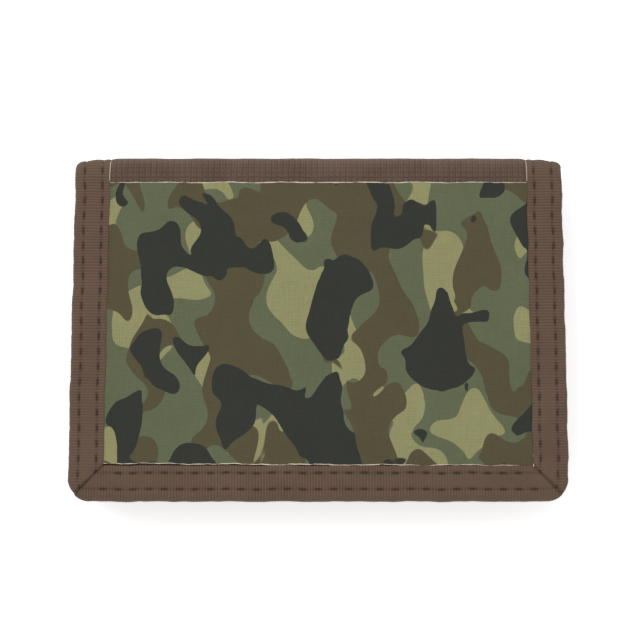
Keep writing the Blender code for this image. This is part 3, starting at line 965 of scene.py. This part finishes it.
def finish_piece(piece, body, nodes=(), others=()):
    """Hide a piece's CAD nodes and put the piece and any others on its body."""
    if nodes:
        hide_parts(*nodes)
    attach(piece, body)
    for other in others:
        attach(other, body)


# ---------------------------------------------------------------- inside the front flap
def padding_and_stiffener():
    """Foam under the print and the stiff sheet in the back."""
    box, (z0, z1) = node_box("front_padding")

    def crown(x, y):
        reach = np.minimum(np.minimum(x - box[0], box[1] - x), np.minimum(y - box[2], box[3] - y))
        return z1 + 0.45 * smoothstep(0.0, 10.0, reach)

    foam = flat_cloth("front_foam", FOAM, box, crown, 0.8, cell=2.0, corner=4.0, seed=41)
    finish_piece(foam, "front_flap", nodes=["front_padding"])
    box, (z0, top) = node_box("back_stiffener")
    board = flat_cloth("back_board", FOAM, box, level(top), 0.6, cell=4.0, corner=3.0, seed=42, wave=0.02)
    finish_piece(board, "back_panel", nodes=["back_stiffener"])


def card_slots():
    """Three stepped pockets with folded, stitched mouths, seen from below when closed."""
    for number in (1, 2, 3):
        node = f"card_slot_{number}"
        box, (z0, z1) = node_box(node)
        mouth, tail = box[3], box[2]

        def face(x, y):
            base = z0 + 0.56 * (mouth - y) / (mouth - tail)
            hem = 0.16 * smoothstep(mouth - 2.9, mouth - 2.6, y)
            bow = 0.12 * np.cos(np.pi * x / (box[1] - box[0])) * smoothstep(tail, mouth, y)
            return base - hem * 0.4 - bow + 0.1
        pocket = flat_cloth(node + "_cloth", POCKET_CLOTH, box, face, 0.35, up=-1, cell=0.7, corner=0.8,
                            seed=50 + number)
        row = mouth - 2.2
        height = float(face(np.array([0.0]), np.array([row]))[0])
        lines = [[(box[0] + 1, row, height + 0.1), (0, row, height), (box[1] - 1, row, height + 0.1)]]
        side = [[(x, tail + 1.0, z0 + 0.6), (x, mouth - 0.8, z0 + 0.08)]
                for x in (box[0] + 1.1, box[1] - 1.1)]
        threads = [thread_line(f"{node}_stitches_{k}", line, THREAD, pitch=2.8, length=1.9)
                   for k, line in enumerate(lines + side)]
        finish_piece(pocket, "front_flap",
                     nodes=[node], others=threads)


def hook_patch():
    """Woven base with rows of small bent hooks, facing down when closed."""
    box, (z0, z1) = node_box("hook_patch")
    base = flat_cloth("hook_base", HOOK_CLOTH, box, level(z1 - 0.45), 0.4, up=-1, corner=1.6, seed=61)
    rng = np.random.default_rng(62)
    pieces = []
    hook_path = [(0.0, 0.0), (0.02, 0.35), (0.14, 0.55), (0.33, 0.52), (0.4, 0.38)]   # (along, out)
    row_pitch = 1.05
    for x in np.arange(box[0] + 2.2, box[1] - 2.0, 1.25):
        for y in np.arange(box[2] + 2.2, box[3] - 2.0, row_pitch):
            lean = rng.uniform(-0.15, 0.15)
            turn = 1 if int((y - box[2]) / row_pitch) % 2 else -1
            points = [(x + turn * (a + lean * b), y + lean * b, z1 - 0.42 - b) for a, b in hook_path]
            pieces.append(bent_thread(points, 0.085))
    hooks = join("hook_hooks", pieces, HOOK_TIPS)
    threads = thread_line("hook_stitches", box_line(box, 1.1, z1 - 0.5), THREAD, pitch=2.4, length=1.6)
    finish_piece(base, "front_flap",
                 nodes=["hook_patch"], others=[hooks, threads])


def bent_thread(points, radius, sides=4):
    """Tube through a few points, open ended rings closed with caps."""
    points = np.array(points, float)
    ways = np.gradient(points, axis=0)
    ways /= np.linalg.norm(ways, axis=1)[:, None]
    helper = np.array([0.31, 0.9, 0.27])
    across = np.cross(ways, helper)
    across /= np.linalg.norm(across, axis=1)[:, None]
    other = np.cross(ways, across)
    rings = []
    for k in range(sides):
        turn = 2 * math.pi * k / sides
        rings.append(points + radius * (across * math.cos(turn) + other * math.sin(turn)))
    verts = np.stack(rings, axis=1).reshape(-1, 3)
    last = (len(points) - 1) * sides
    faces = grid_faces(len(points), sides, closed=True, flip=True)
    faces.append(list(range(sides)))
    faces.append([last + k for k in range(sides)][::-1])
    return verts, faces


# ---------------------------------------------------------------- inner flap
def loop_patch():
    """Napped patch on the inner flap: a cloth base under a thick layer of loose loops."""
    box, (z0, z1) = node_box("loop_patch")
    base = flat_cloth("loop_base", LOOP_CLOTH, box, level(z0 + 0.45), 0.45, corner=1.6, seed=71)
    rng = np.random.default_rng(72)
    pieces = []
    for _ in range(1500):
        x = rng.uniform(box[0] + 1.7, box[1] - 1.7)
        y = rng.uniform(box[2] + 1.7, box[3] - 1.7)
        way = rng.uniform(0, math.pi)
        reach = rng.uniform(0.5, 0.95)
        tall = rng.uniform(0.3, 0.62)
        lean = rng.uniform(-0.3, 0.3)
        points = []
        for t in np.linspace(0, math.pi, 6):
            along = -math.cos(t) * reach
            points.append((x + along * math.cos(way) - lean * math.sin(t) * math.sin(way),
                           y + along * math.sin(way) + lean * math.sin(t) * math.cos(way),
                           z0 + 0.42 + tall * math.sin(t)))
        pieces.append(bent_thread(points, 0.06, sides=3))
    loops = join("loop_loops", pieces, LOOP_FIBRE)
    threads = thread_line("loop_stitches", box_line(box, 1.1, z0 + 0.5), THREAD, pitch=2.4, length=1.6)
    finish_piece(base, "inner_flap",
                 nodes=["loop_patch"], others=[loops, threads])


def ring_points(box, corner, count):
    """Points round a rounded rectangle, count on each quarter, in the same order for any box."""
    x0, x1, y0, y1 = box
    points = []
    corners = ((x1 - corner, y0 + corner, -90), (x1 - corner, y1 - corner, 0),
               (x0 + corner, y1 - corner, 90), (x0 + corner, y0 + corner, 180))
    for k, (cx, cy, first) in enumerate(corners):
        arc = []
        for angle in np.linspace(first, first + 90, 7):
            turn = math.radians(angle)
            arc.append((cx + corner * math.cos(turn), cy + corner * math.sin(turn)))
        after = corners[(k + 1) % 4]
        turn = math.radians(after[2])
        goal = (after[0] + corner * math.cos(turn), after[1] + corner * math.sin(turn))
        points += arc
        from_x, from_y = arc[-1]
        for t in np.linspace(0, 1, count + 2)[1:-1]:
            points.append((from_x + (goal[0] - from_x) * t, from_y + (goal[1] - from_y) * t))
    return np.array(points)


def grown(box, margin):
    """A box made larger on all four sides."""
    return (box[0] - margin, box[1] + margin, box[2] - margin, box[3] + margin)


def window():
    """Cloth frame with a taped opening and a clear vinyl pane behind it."""
    box, (z0, z1) = node_box("id_window_frame")
    pane_box = node_box("id_window")[0]
    outer = ring_points(box, 1.0, 30)
    hole_box = grown(pane_box, 0.3)
    inner = ring_points(hole_box, 3.0, 30)
    # (share of the way from the outer edge to the hole, drop) round the cloth's section
    section = [(0.0, 0.0), (0.5, 0.0), (0.72, 0.0), (0.78, -0.16), (0.86, -0.2), (0.95, -0.17), (1.0, 0.0),
               (1.0, 0.3), (0.75, 0.4), (0.0, 0.4)]
    rings = []
    for share, drop in section:
        place = outer + (inner - outer) * share
        z = z0 + 0.05 + drop + 0.04 * smooth_noise(place[:, 0] + place[:, 1], 81, 17.0)
        rings.append(np.column_stack([place, z]))
    ring = np.stack(rings, axis=1)
    ring = np.concatenate([ring, ring[:1]], axis=0)
    cols = len(section)
    faces = grid_faces(len(ring), cols, closed=True)
    frame_piece = weld(mesh_object("id_window_cloth", ring.reshape(-1, 3), faces, POCKET_CLOTH))
    run = ring_points(grown(hole_box, 1.7), 3.4, 30)
    seam = np.column_stack([run, np.full(len(run), z0 - 0.1)])
    threads = thread_line("id_window_stitches", corner_path(seam), THREAD, pitch=2.6, length=1.8)
    pane = flat_cloth("id_window_pane", VINYL, grown(hole_box, 0.8), level(z0 + 0.22), 0.14, up=-1,
                      cell=1.6, corner=3.0, seed=83)
    finish_piece(frame_piece, "inner_flap", nodes=["id_window_frame"])
    finish_piece(pane, "inner_flap", nodes=["id_window"])
    finish_piece(threads, "inner_flap")


def weld(piece):
    """Merge the doubled ring where a closed band meets itself."""
    tool = bmesh.new()
    tool.from_mesh(piece.data)
    bmesh.ops.remove_doubles(tool, verts=tool.verts, dist=0.00001)
    tool.to_mesh(piece.data)
    tool.free()
    return piece


def corner_path(points):
    """Closed path through the points, thinned to about 2.6 mm so stitches fit between them."""
    closed = np.concatenate([points, points[:1]])
    length = np.concatenate([[0], np.cumsum(np.linalg.norm(np.diff(closed, axis=0), axis=1))])
    at = np.linspace(0, length[-1], int(length[-1] / 2.6) + 1)
    return np.stack([np.interp(at, length, closed[:, k]) for k in range(3)], axis=-1)


# ---------------------------------------------------------------- coin pocket and zipper
POCKET_RIM = 5.0         # width of the slope up from the pocket's sewn rim
MAX_SWELL = 0.42         # most that the simulation may move the cloth
PUFF_FRAMES = 18


def coin_pocket():
    """Pocket cloth puffed by a short cloth simulation, held along its sewn rim."""
    box, (z0, z1) = node_box("coin_pocket_panel")
    cell = 1.5
    sewn = 1.6
    cols = int((box[1] - box[0]) / cell) + 1
    rows = int((box[3] - box[2]) / cell) + 1
    x = np.linspace(box[0], box[1], cols)[None, :] + np.zeros((rows, 1))
    y = np.linspace(box[2], box[3], rows)[:, None] + np.zeros((1, cols))
    side = np.minimum(x - box[0], box[1] - x)
    low = y - box[2]
    rise = smoothstep(POCKET_RIM - 3.5, POCKET_RIM + 1.5, np.minimum(side, low))
    ramp = z0 + 0.45 + (z1 - z0 - 0.5) * rise
    held = (np.minimum(side, low) < sewn) | (box[3] - y < sewn)
    z = ramp
    swell = simulated_puff(x, y, ramp, held) - ramp
    z = ramp + swell * min(1.0, MAX_SWELL / max(float(np.abs(swell).max()), 0.01))
    hem = 0.2 * smoothstep(box[3] - 3.0, box[3] - 2.7, y)
    z = z + hem * 0.5
    outer = np.stack([x, y, z], axis=-1)
    outer = refined(refined(outer))
    low_face = outer - np.array([0, 0, 0.4])
    cloth = slab("coin_pocket_cloth", outer, low_face, POCKET_CLOTH)
    rim = z0 + 0.5
    left, right, bottom = box[0] + 1.2, box[1] - 1.2, box[2] + 1.2
    top = box[3] - 1.0
    sides = [(left, top, rim), (left, bottom, rim), (right, bottom, rim), (right, top, rim)]
    hem_line = [(box[0] + 5, box[3] - 1.6, z1 + 0.07), (box[1] - 5, box[3] - 1.6, z1 + 0.07)]
    threads = [thread_line("coin_pocket_stitches", sides, THREAD, pitch=2.9),
               thread_line("coin_pocket_hem_stitches", hem_line, THREAD, pitch=2.9)]
    finish_piece(cloth, "back_panel",
                 nodes=["coin_pocket_panel"], others=threads)
    box, (z0, z1) = node_box("coin_pocket_strip")
    strip = flat_cloth("coin_pocket_band", POCKET_CLOTH, box, level(z1), 0.4, cell=0.5, seed=92, wave=0.03)
    finish_piece(strip, "back_panel", nodes=["coin_pocket_strip"])


def refined(grid):
    """Grid of points with twice as many cells, on smooth curves through the old points."""
    def along(values):
        before = np.concatenate([values[:1], values[:-1]])
        after = np.concatenate([values[1:], values[-1:]])
        beyond = np.concatenate([values[2:], values[-1:], values[-1:]])
        middle = (9 * (values + after) - before - beyond) / 16
        out = np.empty((2 * len(values) - 1,) + values.shape[1:])
        out[0::2] = values
        out[1::2] = middle[:-1]
        return out
    return np.swapaxes(along(np.swapaxes(along(grid), 0, 1)), 0, 1)


def simulated_puff(x, y, z, held):
    """Height of the cloth after a little pressure, pinned where held is true."""
    rows, cols = x.shape
    verts = np.stack([x, y, z], axis=-1).reshape(-1, 3)
    cloth = mesh_object("pocket_simulation", verts, grid_faces(rows, cols), POCKET_CLOTH)
    group = cloth.vertex_groups.new(name="sewn")
    group.add([int(k) for k in np.flatnonzero(held.ravel())], 1.0, "REPLACE")
    modifier = cloth.modifiers.new("cloth", "CLOTH")
    settings = modifier.settings
    settings.vertex_group_mass = "sewn"
    settings.quality = 6
    settings.mass = 0.15
    settings.tension_stiffness = 12
    settings.compression_stiffness = 12
    settings.bending_stiffness = 0.2
    settings.shrink_min = -0.03
    settings.use_pressure = True
    settings.uniform_pressure_force = 0.6
    settings.effector_weights.gravity = 0.0
    scene = bpy.context.scene
    for number in range(1, PUFF_FRAMES + 1):
        scene.frame_set(number)
    graph = bpy.context.evaluated_depsgraph_get()
    result = cloth.evaluated_get(graph).to_mesh()
    place = np.empty(rows * cols * 3)
    result.vertices.foreach_get("co", place)
    height = place.reshape(rows, cols, 3)[..., 2] / MM
    scene.frame_set(1)
    bpy.data.objects.remove(cloth)
    return np.where(np.isfinite(height), height, z)


def zipper():
    """Cloth tapes, two interlocked coils, and metal for the stops, slider and pull."""
    for name, inward in (("lower", 1), ("upper", -1)):
        box, (z0, z1) = node_box(f"zipper_tape_{name}")
        inner_y = box[3] if inward > 0 else box[2]

        def face(x, y):
            return z1 - 0.02 + 0.04 * np.cos(2 * np.pi * (y - inner_y) / 1.1)

        tape_piece = flat_cloth(f"zipper_cloth_{name}", ZIP_CLOTH, box, face, 0.34, cell=0.35, seed=95,
                                wave=0.02)
        finish_piece(tape_piece, "back_panel", nodes=[f"zipper_tape_{name}"])
        coil_box, (c0, c1) = node_box(f"zipper_coil_{name}")
        middle = (coil_box[2] + coil_box[3]) / 2
        centre_z = (c0 + c1) / 2
        pitch = 1.3
        turns = (coil_box[1] - coil_box[0] - 1.0) / pitch
        t = np.linspace(0, turns * 2 * math.pi, int(turns * 14))
        x = coil_box[0] + 0.5 + pitch * t / (2 * math.pi) + (pitch / 2 if inward < 0 else 0.0) * 0.9
        reach = 0.62 + 0.2 * np.maximum(np.cos(t), 0)
        y = middle + inward * (np.cos(t) * reach + 0.1)
        z = centre_z + 0.3 * np.sin(t)
        wire = bent_thread(np.column_stack([x, y, z]), 0.19, sides=6)
        coil = join(f"zipper_coil_{name}_wire", [wire], COIL)
        core = bent_thread([(coil_box[0], middle, centre_z), (coil_box[1], middle, centre_z)], 0.16, 6)
        cord = join(f"zipper_core_{name}", [core], ZIP_CLOTH)
        seam_y = middle - inward * 2.0
        seam_line = [(box[0] + 3, seam_y, z1 + 0.02), (box[1] - 3, seam_y, z1 + 0.02)]
        seam = thread_line(f"zipper_seam_{name}", seam_line, THREAD, pitch=2.2, length=1.6, radius=0.1)
        finish_piece(coil, "back_panel", nodes=[f"zipper_coil_{name}"], others=[cord, seam])
    for node in ("zipper_stop_start", "zipper_stop_end", "zipper_slider", "zipper_pull"):
        metal = bpy.data.objects[node]
        metal.data.materials.clear()
        metal.data.materials.append(METAL)


# ---------------------------------------------------------------- camera, light and floor
def stage_and_light():
    """Pale paper floor, an even white world and three soft lamps."""
    floor = bpy.data.meshes.new("floor")
    size = 3.0
    floor.from_pydata([(-size, -size, 0), (size, -size, 0), (size, size, 0), (-size, size, 0)], [],
                      [(0, 1, 2, 3)])
    plane = bpy.data.objects.new("floor", floor)
    bpy.context.collection.objects.link(plane)
    plane.location = (0, 0, -0.0004)
    paper = Nodes("floor_paper", roughness=0.9, specular=0.5)
    paper.set("Base Color", (0.93, 0.93, 0.93, 1))
    paper.set("Emission Color", (1, 1, 1, 1))
    paper.set("Emission Strength", 0.42)
    floor.materials.append(paper.material)
    world = bpy.data.worlds.new("studio")
    world.use_nodes = True
    sky = world.node_tree.nodes["Background"].inputs
    sky["Color"].default_value = (1.0, 1.0, 1.0, 1)
    sky["Strength"].default_value = 0.72
    bpy.context.scene.world = world
    lights = (("key", (-0.35, 0.30, 0.75), 0.5, 2.5), ("fill", (0.55, -0.35, 0.6), 0.7, 1.0),
              ("rim", (0.1, 0.8, 0.5), 0.5, 0.8))
    for name, place, width, power in lights:
        data = bpy.data.lights.new(name, "AREA")
        data.shape = "SQUARE"
        data.size = width
        data.energy = power
        lamp = bpy.data.objects.new(name, data)
        bpy.context.collection.objects.link(lamp)
        lamp.location = place
        lamp.rotation_euler = (Vector((0, 0, 0.01)) - Vector(place)).to_track_quat("-Z", "Y").to_euler()


def camera():
    """Almost straight down on the printed front, with the lower edge nearer the camera."""
    elevation = math.radians(83.0)
    distance = 0.62
    data = bpy.data.cameras.new("camera")
    data.lens = 143.3
    data.sensor_width = 36.0
    eye = bpy.data.objects.new("camera", data)
    bpy.context.collection.objects.link(eye)
    target = Vector((0.0009, 0.0012, THICK * MM))
    offset = Vector((0, -math.cos(elevation), math.sin(elevation))) * distance
    eye.location = target + offset
    eye.rotation_euler = (-offset).to_track_quat("-Z", "Y").to_euler()
    bpy.context.scene.camera = eye
    bpy.context.scene.view_settings.view_transform = "Standard"


# ---------------------------------------------------------------- everything, in order
camera()
stage_and_light()
side_bindings()
cross_bindings()
cloth_strips()
printed_panel()
band_edges()
padding_and_stiffener()
card_slots()
hook_patch()
loop_patch()
window()
coin_pocket()
zipper()
